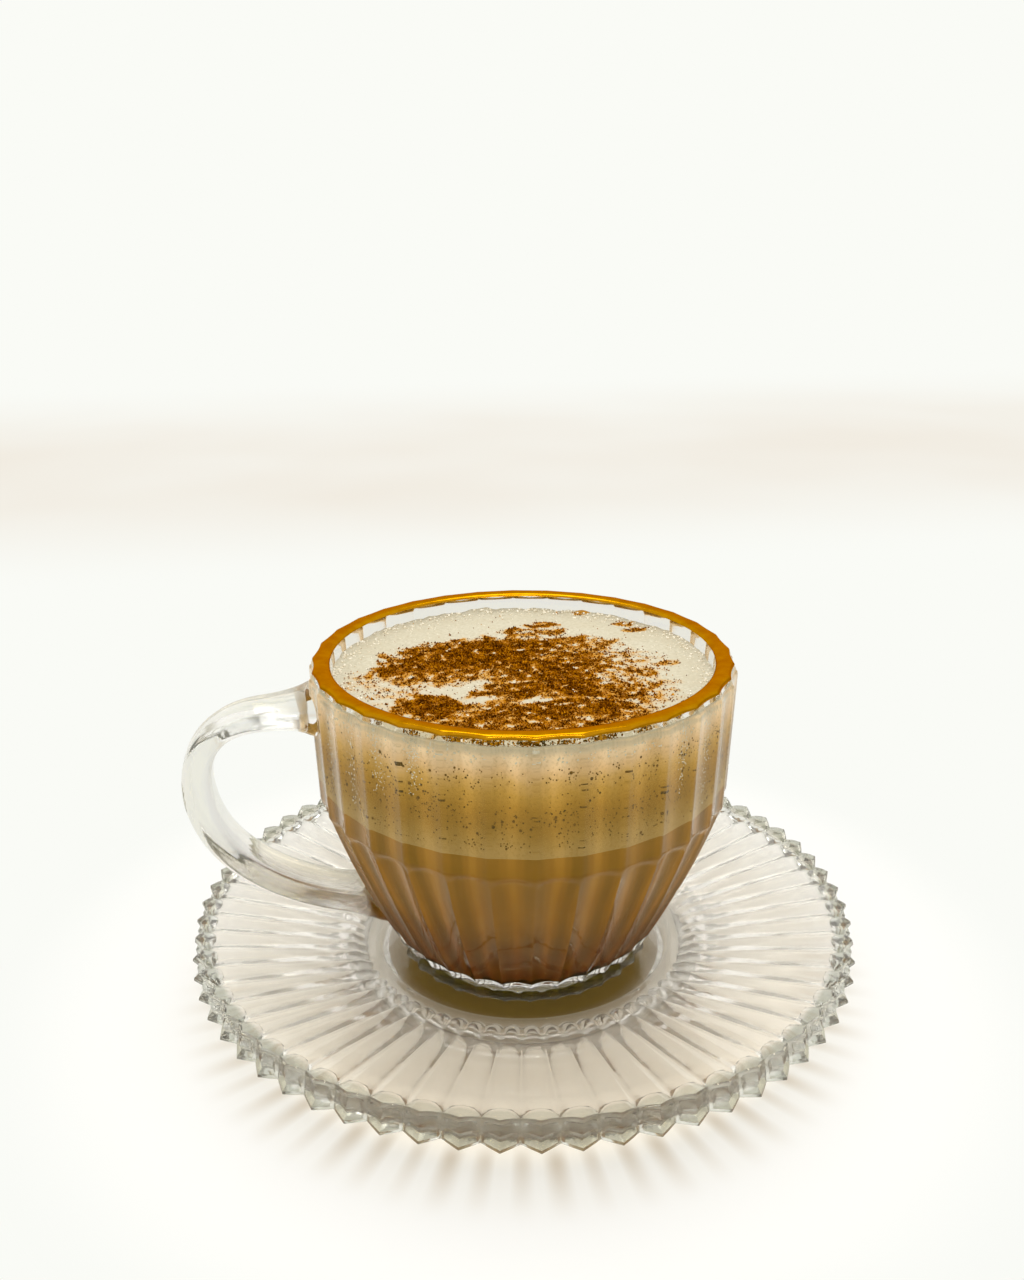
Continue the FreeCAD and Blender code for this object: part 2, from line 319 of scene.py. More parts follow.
class Nodes:
    """Shorthand for a material's or a world's node tree."""

    def __init__(self, tree):
        self.tree = tree
        tree.nodes.clear()

    def add(self, kind, **settings):
        node = self.tree.nodes.new(kind)
        for key, value in settings.items():
            setattr(node, key, value)
        return node

    def link(self, source, target):
        self.tree.links.new(source, target)

    def feed(self, socket, value):
        if isinstance(value, bpy.types.NodeSocket):
            self.link(value, socket)
        else:
            socket.default_value = value

    def put(self, node, **values):
        """Sets or links a node's inputs. Keys are socket names with _ for a space."""
        for key, value in values.items():
            self.feed(node.inputs[key.replace("_", " ")], value)

    def math(self, operation, first, second=None, third=None, clamp=False):
        node = self.add("ShaderNodeMath", operation=operation, use_clamp=clamp)
        for index, value in enumerate((first, second, third)):
            if value is not None:
                self.feed(node.inputs[index], value)
        return node.outputs[0]

    def length(self, x, y):
        return self.math(
            "SQRT", self.math("ADD", self.math("MULTIPLY", x, x), self.math("MULTIPLY", y, y))
        )

    def span(self, value, low, high, to_low=0.0, to_high=1.0, smooth=False):
        node = self.add("ShaderNodeMapRange")
        if smooth:
            node.interpolation_type = "SMOOTHSTEP"
        self.put(node, Value=value, From_Min=low, From_Max=high, To_Min=to_low, To_Max=to_high)
        return node.outputs["Result"]

    def ramp(self, value, stops):
        node = self.add("ShaderNodeValToRGB")
        elements = node.color_ramp.elements
        while len(elements) < len(stops):
            elements.new(0.5)
        for element, (position, colour) in zip(elements, stops):
            element.position = position
            element.color = colour
        self.link(value, node.inputs["Fac"])
        return node.outputs["Color"]

    def mix(self, factor, first, second, blend="MIX"):
        node = self.add("ShaderNodeMix", data_type="RGBA", blend_type=blend)
        for name, value in (("Factor", factor), ("A", first), ("B", second)):
            self.feed([s for s in node.inputs if s.name == name and s.enabled][0], value)
        return [s for s in node.outputs if s.enabled][0]

    def place(self, kind="Object"):
        """Position on the piece in metres, or the world's direction, and its coordinates."""
        coordinates = self.add("ShaderNodeTexCoord").outputs[kind]
        apart = self.add("ShaderNodeSeparateXYZ")
        self.link(coordinates, apart.inputs[0])
        return coordinates, apart.outputs["X"], apart.outputs["Y"], apart.outputs["Z"]

    def noise(self, position, per_mm, detail=3.0, roughness=0.55, stretch=None):
        if stretch:
            mapping = self.add("ShaderNodeMapping")
            self.put(mapping, Scale=stretch, Vector=position)
            position = mapping.outputs["Vector"]
        node = self.add("ShaderNodeTexNoise")
        self.put(node, Scale=per_mm / MM, Detail=detail, Roughness=roughness, Vector=position)
        return node.outputs["Fac"]

    def bump(self, height, depth_mm, strength=1.0):
        node = self.add("ShaderNodeBump")
        self.put(node, Strength=strength, Distance=depth_mm * MM, Height=height)
        return node.outputs["Normal"]

    def blend(self, share, first, second):
        """Mix of two shaders."""
        node = self.add("ShaderNodeMixShader")
        for socket, source in zip(node.inputs, (share, first, second)):
            self.link(source, socket)
        return node.outputs[0]


def new_material(name):
    material = bpy.data.materials.new(name)
    material.use_nodes = True
    return material, Nodes(material.node_tree)


def surface(nodes, **values):
    """Principled surface, linked to the output."""
    shader = nodes.add("ShaderNodeBsdfPrincipled")
    nodes.put(shader, **values)
    output = nodes.add("ShaderNodeOutputMaterial")
    nodes.link(shader.outputs[0], output.inputs["Surface"])
    return shader, output


# ---- materials

def cup_straight(nodes):
    """Share of a view that crosses the cup's glass unbent: more on the handle and the foot."""
    _, x, y, z = nodes.place()
    wall = nodes.math("MINIMUM", nodes.math("MULTIPLY_ADD", z, 0.44, 0.0243), 0.0436)
    off_wall = nodes.math("SUBTRACT", nodes.length(x, y), wall)
    handle = nodes.math(
        "MINIMUM",
        nodes.span(off_wall, 0.0008, 0.002, 0.0, 0.42),
        nodes.span(off_wall, 0.006, 0.013, 0.42, 0.05),
    )
    foot = nodes.span(z, (FOOT_TOP + 0.6) * MM, (FOOT_TOP - 0.6) * MM, 0.0, 0.22)
    return nodes.math("MAXIMUM", handle, foot)


def saucer_straight(nodes):
    """The same for the saucer: least at the teeth."""
    _, x, y, _ = nodes.place()
    return nodes.span(nodes.length(x, y), 0.062, 0.067, 0.24, 0.05)


def cup_tint(_nodes):
    return (0.86, 0.845, 0.785, 1)


def saucer_tint_and_teeth_shade(nodes):
    """Pale warm glass, tinted darker grey green at the teeth: painted shade for the shade and
    reflections seen inside them.
    """
    _, x, y, _ = nodes.place()
    teeth = nodes.span(nodes.length(x, y), 0.0664, 0.0674)
    # the darker grey green tint at the teeth is painted shade
    return nodes.mix(teeth, (0.92, 0.89, 0.835, 1), (0.52, 0.53, 0.455, 1))


def glass_material(name, tint, clear, wave_mm, wave_depth, shine, glint, straight):
    """Pressed glass. Lamps and soft light pass straight through, so what it holds is lit.

    tint and straight are functions that make the colour and the share of a view that isn't bent.
    """
    material, nodes = new_material(name)
    position, _, _, _ = nodes.place()
    waves = nodes.noise(position, 1 / wave_mm, detail=2.0)
    shader, output = surface(
        nodes,
        Base_Color=tint(nodes),
        Roughness=0.015,
        IOR=1.5,
        Specular_IOR_Level=shine,
        Specular_Tint=glint,
        Transmission_Weight=1.0,
        Normal=nodes.bump(waves, wave_depth, 0.5),
    )
    path = nodes.add("ShaderNodeLightPath")
    passes = nodes.math("MAXIMUM", path.outputs["Is Shadow Ray"], path.outputs["Is Diffuse Ray"])
    passes = nodes.math("MAXIMUM", passes, straight(nodes))
    through = nodes.add("ShaderNodeBsdfTransparent")
    nodes.put(through, Color=clear)
    seen = nodes.blend(passes, shader.outputs[0], through.outputs[0])
    nodes.link(seen, output.inputs["Surface"])
    return material


def gilt_material():
    material, nodes = new_material("gilt")
    position, _, _, _ = nodes.place()
    patches = nodes.noise(position, 1 / 2.5, detail=3.0)
    tone = nodes.ramp(patches, ((0.3, linear(166, 111, 4)), (0.7, linear(184, 130, 16))))
    rough = nodes.span(nodes.noise(position, 1 / 0.8), 0.35, 0.65, 0.16, 0.22)
    surface(
        nodes,
        Base_Color=tone,
        Metallic=1.0,
        Specular_Tint=(0.72, 0.42, 0.03, 1.0),
        Roughness=rough,
        Normal=nodes.bump(patches, 0.03, 0.3),
    )
    return material


FROTH_SIDE_TONES = (
    # height, then the colour that the froth has there behind the glass
    (46.6, (156, 128, 78)),
    (48.5, (155, 126, 74)),
    (50.5, (150, 119, 64)),
    (53.0, (144, 110, 53)),
    (55.2, (146, 110, 51)),
    (57.5, (156, 118, 53)),
    (60.0, (172, 134, 66)),
    (62.2, (188, 151, 90)),
    (64.5, (208, 174, 128)),
    (67.0, (226, 200, 162)),
)
# Tea seen through the glass, by height: it darkens towards the bottom as painted shade, darkest in
# the corner at the inside bottom.
CHAI_SHADED_TONES = (
    (10.6, (52, 30, 2)),
    (11.5, (58, 34, 4)),
    (12.2, (94, 60, 12)),
    (16.6, (98, 64, 14)),
    (20.2, (102, 67, 16)),
    (23.8, (108, 73, 21)),
    (27.4, (117, 80, 28)),
    (32.0, (126, 88, 35)),
    (40.0, (131, 94, 40)),
    (46.6, (135, 98, 45)),
)
TONE_GAIN = 1.25
VEIL = (0.028, 0.027, 0.012)    # what the glass itself reflects, taken off the tones behind it


def height_ramp(nodes, height, tones):
    low = tones[0][0]
    high = tones[-1][0]
    share = nodes.span(height, low * MM, high * MM)
    stops = []
    for z, colour in tones:
        unveiled = zip(linear(*colour), VEIL)
        seen = [max(0.002, value - veil) * TONE_GAIN for value, veil in unveiled]
        stops.append(((z - low) / (high - low), (*seen, 1.0)))
    return nodes.ramp(share, stops)


def flute_light(nodes, tone, dark, bright):
    """Upright bands of light and shade that the flutes of the glass throw on what it holds."""
    position, x, y, _ = nodes.place()
    turn = nodes.math("ARCTAN2", y, x)
    sway = nodes.noise(position, 1 / 9.0, detail=1.0, stretch=(1.0, 1.0, 0.3))
    turn = nodes.math("ADD", turn, nodes.math("MULTIPLY", nodes.math("SUBTRACT", sway, 0.5), 0.09))
    wave = nodes.math("COSINE", nodes.math("MULTIPLY", turn, float(FLUTES)))
    fine = nodes.math("COSINE", nodes.math("MULTIPLY", turn, float(FLUTES * 3)))
    wave = nodes.math("ADD", wave, nodes.math("MULTIPLY", fine, 0.3))
    patch = nodes.noise(position, 1 / 14.0, detail=2.0)
    level = nodes.span(wave, -0.8, 1.1, dark, bright, smooth=True)
    even = nodes.span(patch, 0.3, 0.6, 0.35, 1.0)
    level = nodes.math("ADD", nodes.math("MULTIPLY", nodes.math("SUBTRACT", level, 1.0), even), 1.0)
    grey = nodes.add("ShaderNodeCombineColor")
    for channel in ("Red", "Green", "Blue"):
        nodes.link(level, grey.inputs[channel])
    return nodes.mix(1.0, tone, grey.outputs[0], "MULTIPLY")


def froth_material():
    """Milk foam: pale on top, and in bands of beige and tan where it lies on the glass."""
    material, nodes = new_material("froth")
    position, _, _, height = nodes.place()
    flow = nodes.noise(position, 1 / 6.0, detail=4.0, stretch=(1.0, 1.0, 0.5))
    wander = nodes.math("MULTIPLY", nodes.math("SUBTRACT", flow, 0.5), 0.006)
    side = height_ramp(nodes, nodes.math("ADD", height, wander), FROTH_SIDE_TONES)
    side = flute_light(nodes, side, 0.84, 1.16)
    grain = nodes.noise(position, 1 / 0.55, detail=2.0)
    side = nodes.mix(nodes.span(grain, 0.5, 0.75, 0.0, 0.3), side, linear(118, 82, 22))

    fine = nodes.noise(position, 1 / 0.7, detail=4.0, roughness=0.65)
    broad = nodes.noise(position, 1 / 9.0, detail=2.0)
    top = nodes.ramp(fine, ((0.3, linear(184, 175, 150)), (0.7, linear(206, 199, 177))))
    top = nodes.mix(nodes.span(broad, 0.4, 0.7, 0.0, 0.5), top, linear(190, 179, 152))
    stain = nodes.add("ShaderNodeAttribute", attribute_name="stain").outputs["Fac"]
    spread = nodes.math("MULTIPLY", stain, nodes.span(fine, 0.25, 0.75, 0.6, 1.3), clamp=True)
    stained = nodes.ramp(
        spread,
        (
            (0.0, linear(200, 176, 134)),
            (0.25, linear(196, 144, 58)),
            (0.5, linear(168, 106, 12)),
            (1.0, linear(104, 58, 0)),
        ),
    )
    top = nodes.mix(nodes.span(spread, 0.02, 0.3, 0.0, 1.0, smooth=True), top, stained)
    on_top = nodes.add("ShaderNodeAttribute", attribute_name="on_top").outputs["Fac"]
    tone = nodes.mix(on_top, side, top)
    surface(
        nodes,
        Base_Color=tone,
        Roughness=0.65,
        Specular_IOR_Level=0.08,
        Normal=nodes.bump(fine, 0.12, 0.6),
    )
    return material


def chai_material():
    material, nodes = new_material("chai")
    position, _, _, height = nodes.place()
    cloud = nodes.noise(position, 1 / 9.0, detail=3.0)
    wander = nodes.math("MULTIPLY", nodes.math("SUBTRACT", cloud, 0.5), 0.008)
    # the tea's tones carry painted shade, darker towards the bottom
    tone = height_ramp(nodes, nodes.math("ADD", height, wander), CHAI_SHADED_TONES)
    mottled = nodes.mix(nodes.span(cloud, 0.45, 0.75, 0.0, 0.2), tone, linear(146, 104, 44))
    mottled = flute_light(nodes, mottled, 0.7, 1.3)
    surface(nodes, Base_Color=mottled, Roughness=0.6, Specular_IOR_Level=0.0)
    return material


def grain_material():
    """Ground cinnamon: each grain has its own tone."""
    material, nodes = new_material("cinnamon")
    position, _, _, _ = nodes.place()
    grain = nodes.noise(position, 1 / 0.4, detail=1.0)
    clump = nodes.noise(position, 1 / 2.2, detail=2.0)
    tone = nodes.ramp(
        nodes.math("ADD", nodes.math("MULTIPLY", grain, 0.6), nodes.math("MULTIPLY", clump, 0.4)),
        (
            (0.38, linear(52, 22, 0)),
            (0.46, linear(94, 48, 0)),
            (0.54, linear(150, 87, 0)),
            (0.64, linear(212, 146, 20)),
        ),
    )
    surface(nodes, Base_Color=tone, Roughness=0.9, Specular_IOR_Level=0.0)
    return material


def mottled_material(name, patch_mm, dark, light, **finish):
    """Small bodies whose tone drifts between two colours from place to place."""
    material, nodes = new_material(name)
    position, _, _, _ = nodes.place()
    mottle = nodes.noise(position, 1 / patch_mm)
    tone = nodes.ramp(mottle, ((0.35, linear(*dark)), (0.65, linear(*light))))
    surface(nodes, Base_Color=tone, **finish)
    return material


# ---- cup

def flute_share(angles):
    """0 in the middle of a flute and 1 on the ridge beside it. The handle is on a flute."""
    period = TAU / FLUTES
    phase = ((angles - math.pi) / period + 0.5) % 1.0
    return np.abs(2 * phase - 1)


def flute_depth(share, height):
    """The cone's flutes are deeper and end in an arch under the shoulder."""
    arch = ARCH_BASE + ARCH_RISE * (np.sqrt(np.clip(1 - share * share, 0, 1)) - 0.5)
    return UPPER_DEPTH + (LOWER_DEPTH - UPPER_DEPTH) * smoothstep((arch - height) / ARCH_STEP)


def cup_body():
    rings = Rings(turns_round(FLUTES * FLUTE_COLUMNS))
    share = flute_share(rings.angles)
    scallop = 1 - share ** SCALLOP_POWER
    for over_base, radius, depth in FOOT_PROFILE:
        rings.add(radius - depth * scallop, CUP_BASE + over_base)
    cone = np.arange(CUP_BASE + 5.4, ARCH_BASE - 2.6, 1.6)
    bend = np.arange(ARCH_BASE - 2.4, SHOULDER + 5.0, 0.32)
    wall = np.arange(SHOULDER + 6.2, CREST_HEIGHT - 0.8, 2.2)
    for height in np.concatenate([cone, bend, wall]):
        rings.add(ridge_radius(height) - flute_depth(share, height) * scallop, height)
    for below_top, radius, depth in (*LIP_PROFILE, *GILT_PROFILE, INSIDE_LIP):
        rings.add(radius - depth * scallop, GLASS_TOP - below_top)
    for height in np.arange(GLASS_TOP - 2.5, INSIDE_BOTTOM + INNER_CORNER, -1.6):
        rings.add(inner_radius(height), height)
    for turn in np.linspace(0, 85, 8):
        height = INSIDE_BOTTOM + INNER_CORNER - INNER_CORNER * math.sin(math.radians(turn))
        rings.add(inner_radius(height), height)
    bottom = inner_radius(INSIDE_BOTTOM)
    for part in (1.0, 0.66, 0.33):
        rings.add(bottom * part, INSIDE_BOTTOM)
    return make_piece("glass_cup", *rings.skin(), CUP_SMOOTH)


def handle_body():
    line = []
    for stand_off, share in HANDLE_LINE:
        height = HANDLE_LOWER + (HANDLE_UPPER - HANDLE_LOWER) * share
        line.append((float(ridge_radius(height)) + HANDLE_REACH * stand_off, height))
    line = spline_through(line, HANDLE_STATIONS)
    along = np.gradient(line, axis=0)
    along /= np.linalg.norm(along, axis=1)[:, None]
    turns = turns_round(HANDLE_POINTS)
    across = np.sign(np.cos(turns)) * np.abs(np.cos(turns)) ** (2 / SECTION_POWER)
    outward = np.sign(np.sin(turns)) * np.abs(np.sin(turns)) ** (2 / SECTION_POWER)
    rows = []
    for index, ((reach, height), (run_out, run_up)) in enumerate(zip(line, along)):
        share = index / (HANDLE_STATIONS - 1)
        stand_off = max(reach - float(ridge_radius(height)), 0.0)
        flare = 1 + ROOT_FLARE * math.exp(-stand_off / ROOT_FLARE_LENGTH)
        upper = max(0.0, 1 - abs(share - 0.24) / 0.2)
        root = max(0.0, 1 - stand_off / 9.0) ** 2
        thickness = HANDLE_THICKNESS + (HANDLE_TOP_THICKNESS - HANDLE_THICKNESS) * upper
        thickness += (HANDLE_ROOT_THICKNESS - thickness) * root
        half_width = HANDLE_WIDTH / 2 * flare
        half_thick = thickness / 2 * flare
        lean = math.exp(-stand_off / 5.0)
        section = []
        for y_share, out_share in zip(across, outward):
            out = reach - run_up * half_thick * out_share
            up = height + run_out * half_thick * out_share
            out += (float(ridge_radius(up)) - float(ridge_radius(height))) * lean
            section.append((-out, half_width * y_share, up))
        rows.append(section)
    return make_piece("handle", *capped_grid(np.array(rows), on_axis=False), CUP_SMOOTH)


def outward_normals(piece):
    """Turns all faces of a closed mesh outward."""
    mesh = piece.data
    mesh.calc_loop_triangles()
    co = np.zeros(len(mesh.vertices) * 3)
    mesh.vertices.foreach_get("co", co)
    co = co.reshape(-1, 3)
    triangles = np.zeros(len(mesh.loop_triangles) * 3, int)
    mesh.loop_triangles.foreach_get("vertices", triangles)
    a, b, c = co[triangles.reshape(-1, 3)].transpose(1, 0, 2)
    if (a * np.cross(b, c)).sum() < 0:
        mesh.flip_normals()


def join_solids(piece, other):
    """Boolean union, applied; the other piece is removed."""
    union = piece.modifiers.new("union", "BOOLEAN")
    union.operation = "UNION"
    union.solver = "MANIFOLD"
    union.object = other
    graph = bpy.context.evaluated_depsgraph_get()
    joined = bpy.data.meshes.new_from_object(piece.evaluated_get(graph))
    piece.modifiers.clear()
    old = piece.data
    piece.data = joined
    bpy.data.meshes.remove(old)
    bpy.data.objects.remove(other)
    joined.name = piece.name
    joined.shade_smooth()
    joined.set_sharp_from_angle(angle=math.radians(CUP_SMOOTH))


def gilt_band():
    """Thin closed skin over the rim, following its scalloped outer edge."""
    rings = Rings(turns_round(FLUTES * FLUTE_COLUMNS))
    scallop = 1 - flute_share(rings.angles) ** SCALLOP_POWER
    middle_radius = RIM_RADIUS - 1.8
    for sign in (1, -1):
        for below_top, radius, depth in GILT_PROFILE[::sign]:
            side = (radius - middle_radius) / 2.0
            lift = math.sqrt(max(0.0, 1 - min(1.0, abs(side)) ** 2))
            rings.add(
                radius - depth * scallop + sign * GILT_SKIN * side,
                GLASS_TOP - below_top + sign * GILT_SKIN * lift,
            )
    grid = rings.grid()
    faces = grid_faces(len(grid), len(rings.angles), wrap_rows=True)
    return make_piece("gilt_rim", grid.reshape(-1, 3), faces, 60)


# ---- drink

# Where cinnamon lies on the froth: centre x, y, half length, half width, turn in degrees, amount.
CINNAMON_PATCHES = (
    (-7.5, 10.8, 16.0, 7.5, 8, 1.0), (-6.7, 8.3, 9.0, 4.0, 0, 0.8),
    (1.7, 3.3, 6.0, 4.5, -20, 0.9), (5.0, 14.2, 5.5, 3.5, 10, 0.8),
    (-24.0, 4.5, 8.0, 3.2, 20, 0.7), (-17.0, -0.5, 11.0, 5.0, 0, 0.42),
    (12.5, 7.0, 5.0, 3.5, 0, 0.5), (7.5, -5.8, 6.5, 9.5, 0, 0.8),
    (10.0, -12.5, 5.5, 3.5, -10, 0.9), (19.5, -8.0, 8.0, 9.5, 0, 0.22),
    (1.7, -20.5, 17.0, 5.0, 0, 0.62), (0.8, -23.3, 6.5, 2.8, 0, 0.9),
    (13.3, -21.7, 5.5, 3.0, 15, 0.9), (-20.0, -16.7, 6.0, 5.0, -20, 0.95),
    (-10.0, -24.0, 8.0, 3.5, -10, 0.5), (8.3, 27.0, 3.5, 1.8, 0, 0.55),
    (9.6, 22.5, 3.5, 2.0, 0, 0.45), (2.0, 23.8, 3.5, 1.6, 0, 0.4),
    (13.3, 15.8, 4.5, 3.0, 0, 0.45), (19.6, 13.3, 4.0, 2.5, 0, 0.35),
    (28.3, 20.8, 2.5, 1.2, 0, 0.5), (26.7, 25.0, 2.2, 1.2, 0, 0.4),
    (19.6, 33.3, 2.2, 0.9, 0, 0.4), (30.0, -0.8, 2.5, 1.5, 0, 0.35),
    (23.3, -5.0, 4.0, 2.5, 0, 0.4), (-33.0, -2.0, 3.5, 6.0, 0, 0.14),
    (-12.0, 4.5, 12.0, 4.5, 0, 0.72), (0.0, -2.0, 8.0, 5.5, -20, 0.6),
    (11.0, 1.0, 7.0, 6.0, 0, 0.65), (20.0, 3.0, 8.0, 6.0, 0, 0.2),
    (16.0, -15.0, 8.0, 5.0, 0, 0.5), (0.0, -29.5, 19.0, 4.5, 0, 0.5),
    (-13.0, -27.5, 8.0, 4.0, -20, 0.5), (14.0, -28.0, 9.0, 4.0, 20, 0.45),
    (-25.0, -8.0, 7.0, 7.0, 0, 0.16), (-1.0, -10.5, 8.0, 4.5, 0, 0.7),
    (12.0, 10.0, 8.0, 5.0, 0, 0.35), (20.0, -18.0, 8.0, 6.0, 0, 0.2),
)
CINNAMON_BARE = (
    # centre x, y, half length, half width
    (-17.0, -9.5, 5.5, 2.6),
    (0.0, -16.6, 4.5, 1.4),
)
PATCH_REACH = 22.0              # no patch spreads further than this


def lumps(x, y, per_mm, layer):
    """Smooth noise, 0 on average."""
    return noise.noise(Vector((x * per_mm, y * per_mm, layer)))


def cinnamon_amount(x, y):
    """0 where the froth is bare, 1 where the powder hides it."""
    amount = 0.0
    for centre_x, centre_y, half_x, half_y, degrees, strength in CINNAMON_PATCHES:
        turn = math.radians(degrees)
        dx = x - centre_x
        dy = y - centre_y
        if abs(dx) > PATCH_REACH or abs(dy) > PATCH_REACH:
            continue
        along = (dx * math.cos(turn) + dy * math.sin(turn)) / half_x
        across = (dy * math.cos(turn) - dx * math.sin(turn)) / half_y
        distance = math.sqrt(along * along + across * across)
        ragged = 0.55 * lumps(x, y, 0.3, 3.0)
        fade = 1.5 - distance + ragged
        amount = max(amount, strength * min(1.0, max(0.0, fade / 0.9)))
    for centre_x, centre_y, half_x, half_y in CINNAMON_BARE:
        distance = math.hypot((x - centre_x) / half_x, (y - centre_y) / half_y)
        amount *= min(1.0, max(0.12, (distance - 0.5) / 0.6))
    clump = 0.5 + 1.2 * lumps(x, y, 0.55, 0.0)
    clump += 0.5 * lumps(x, y, 1.5, 7.0)
    return max(0.0, min(1.0, amount * (0.45 + clump)))


def froth_height(x, y):
    """Relief of the froth's top."""
    radius = math.hypot(x, y)
    edge = max(0.0, 1 - (froth_radius_top - radius) / 2.6)
    relief = 0.28 * lumps(x, y, 0.13, 5.0)
    relief += 0.14 * lumps(x, y, 0.5, 1.0)
    relief += 0.07 * lumps(x, y, 1.6, 2.0)
    ragged = 0.75 + 0.5 * lumps(x, y, 0.4, 9.0)
    return FROTH_TOP + relief + 0.9 * edge * edge * ragged


INTO_WALL = 0.15                # tea and froth reach this far into the glass
FROTH_COLUMNS = 360
FROTH_RINGS = 110
CHAI_COLUMNS = 192
FLAT_RINGS = (10.0, 24.0)       # where tea and froth meet


def drink_radius(height):
    return float(inner_radius(height)) + INTO_WALL


froth_radius_top = drink_radius(FROTH_TOP)


def make_froth():
    rings = Rings(turns_round(FROTH_COLUMNS))
    for radius in (*FLAT_RINGS, drink_radius(FROTH_BOTTOM)):
        rings.add(radius, FROTH_BOTTOM)
    for height in np.linspace(FROTH_BOTTOM, FROTH_TOP, 26)[1:-1]:
        rings.add(drink_radius(height), height)
    first_top = len(rings.radii) * FROTH_COLUMNS
    for ring in range(FROTH_RINGS):
        radius = froth_radius_top * (1 - ring / FROTH_RINGS)
        rings.add(radius, np.array([
            froth_height(radius * math.cos(angle), radius * math.sin(angle))
            for angle in rings.angles
        ]))
    vertices, faces = rings.skin()
    piece = make_piece("froth", vertices, faces, 70)
    stain = piece.data.attributes.new("stain", "FLOAT", "POINT")
    on_top = piece.data.attributes.new("on_top", "FLOAT", "POINT")
    bottom_pole = FROTH_COLUMNS * len(rings.radii)
    for index, (x, y, _) in enumerate(vertices):
        if index < first_top or index == bottom_pole:
            continue
        on_top.data[index].value = 1.0
        stain.data[index].value = cinnamon_amount(x, y)
    return piece


def make_chai():
    rings = Rings(turns_round(CHAI_COLUMNS))
    for radius in (8.0, 16.0):
        rings.add(radius, INSIDE_BOTTOM - INTO_WALL)
    for turn in np.linspace(85, 0, 8):
        drop = math.sin(math.radians(turn))
        height = INSIDE_BOTTOM + INNER_CORNER - INNER_CORNER * drop
        rings.add(drink_radius(height), height - INTO_WALL * drop)
    for height in np.linspace(INSIDE_BOTTOM + 3.6, FROTH_BOTTOM, 30):
        rings.add(drink_radius(height), height)
    for radius in FLAT_RINGS[::-1]:
        rings.add(radius, FROTH_BOTTOM)
    return make_piece("chai", *rings.skin(), 50)


class Crumbs:
    """Collects many small closed bodies that become one piece."""

    def __init__(self):
        self.vertices = []
        self.faces = []

    def tetra(self, centre, size, flatness):
        """Irregular flat four-sided grain lying at any angle round the vertical."""
        first = len(self.vertices)
        start = DRAW.random() * TAU
        for corner in range(3):
            angle = start + corner * TAU / 3 + DRAW.uniform(-0.5, 0.5)
            reach = size * DRAW.uniform(0.35, 0.75)
            self.vertices.append((
                centre[0] + reach * math.cos(angle),
                centre[1] + reach * math.sin(angle),
                centre[2] - size * 0.12,
            ))
        self.vertices.append((
            centre[0] + size * DRAW.uniform(-0.2, 0.2),
            centre[1] + size * DRAW.uniform(-0.2, 0.2),
            centre[2] + size * flatness * DRAW.uniform(0.6, 1.4),
        ))
        self.faces += [
            (first, first + 2, first + 1),
            (first, first + 1, first + 3),
            (first + 1, first + 2, first + 3),
            (first + 2, first, first + 3),
        ]

    def ball(self, centre, out, radius, squash=1.0, around=8, stacks=4):
        """Small ball, squashed along its outward direction."""
        out = Vector(out).normalized()
        side = out.orthogonal().normalized()
        other = out.cross(side)
        centre = Vector(centre)
        first = len(self.vertices)
        self.vertices.append(tuple(centre + out * radius * squash))
        for stack in range(1, stacks):
            polar = math.pi * stack / stacks
            for step in range(around):
                angle = TAU * step / around
                spread = radius * math.sin(polar)
                point = centre + out * (radius * squash * math.cos(polar))
                point += side * (spread * math.cos(angle)) + other * (spread * math.sin(angle))
                self.vertices.append(tuple(point))
        last = len(self.vertices)
        self.vertices.append(tuple(centre - out * radius * squash))
        for step in range(around):
            beside = (step + 1) % around
            self.faces.append((first, first + 1 + step, first + 1 + beside))
            for stack in range(stacks - 2):
                upper = first + 1 + stack * around
                lower = upper + around
                self.faces.append((upper + step, lower + step, lower + beside, upper + beside))
            end = first + 1 + (stacks - 2) * around
            self.faces.append((last, end + beside, end + step))

    def piece(self, name, smooth_angle):
        return make_piece(name, self.vertices, self.faces, smooth_angle)


GRAINS = 36000
STRAY_CHANCE = 0.0012
COARSE_SHARE = 0.06
# Powder stuck to the glass over the froth: direction, width, height, rise, grains.
WALL_SMEARS = (
    (-140.0, 3.0, 69.6, 1.0, 70),
    (-128.0, 3.0, 69.0, 0.9, 70),
    (-116.0, 4.0, 69.3, 0.8, 110),
    (-107.0, 4.0, 69.0, 0.8, 130),
    (-97.0, 4.0, 69.2, 0.8, 130),
    (-88.0, 4.0, 69.0, 0.8, 110),
    (-78.0, 4.0, 69.3, 0.9, 180),
    (-66.0, 3.0, 69.5, 0.9, 130),
    (-55.0, 2.5, 69.8, 0.8, 90),
    (-98.0, 26.0, 69.2, 1.4, 180),
)


def make_cinnamon():
    crumbs = Crumbs()
    reach = froth_radius_top - 0.6
    placed = 0
    while placed < GRAINS:
        x = DRAW.uniform(-reach, reach)
        y = DRAW.uniform(-reach, reach)
        if math.hypot(x, y) > reach:
            continue
        amount = cinnamon_amount(x, y)
        if DRAW.random() > amount ** 1.3 + STRAY_CHANCE:
            continue
        size = DRAW.uniform(0.17, 0.46)
        if DRAW.random() < COARSE_SHARE:
            size = DRAW.uniform(0.5, 1.0)
        height = froth_height(x, y) + DRAW.uniform(-0.02, 0.12) * (0.4 + amount)
        crumbs.tetra((x, y, height), size, 0.5)
        placed += 1
    for degrees, width, height, rise, count in WALL_SMEARS:
        for _ in range(count):
            point, out = on_wall(
                DRAW.gauss(degrees, width / 2), DRAW.gauss(height, rise / 2), -0.04
            )
            crumbs.ball(point, out, DRAW.uniform(0.08, 0.24), 0.4, 5, 3)
    return crumbs.piece("cinnamon", 20)


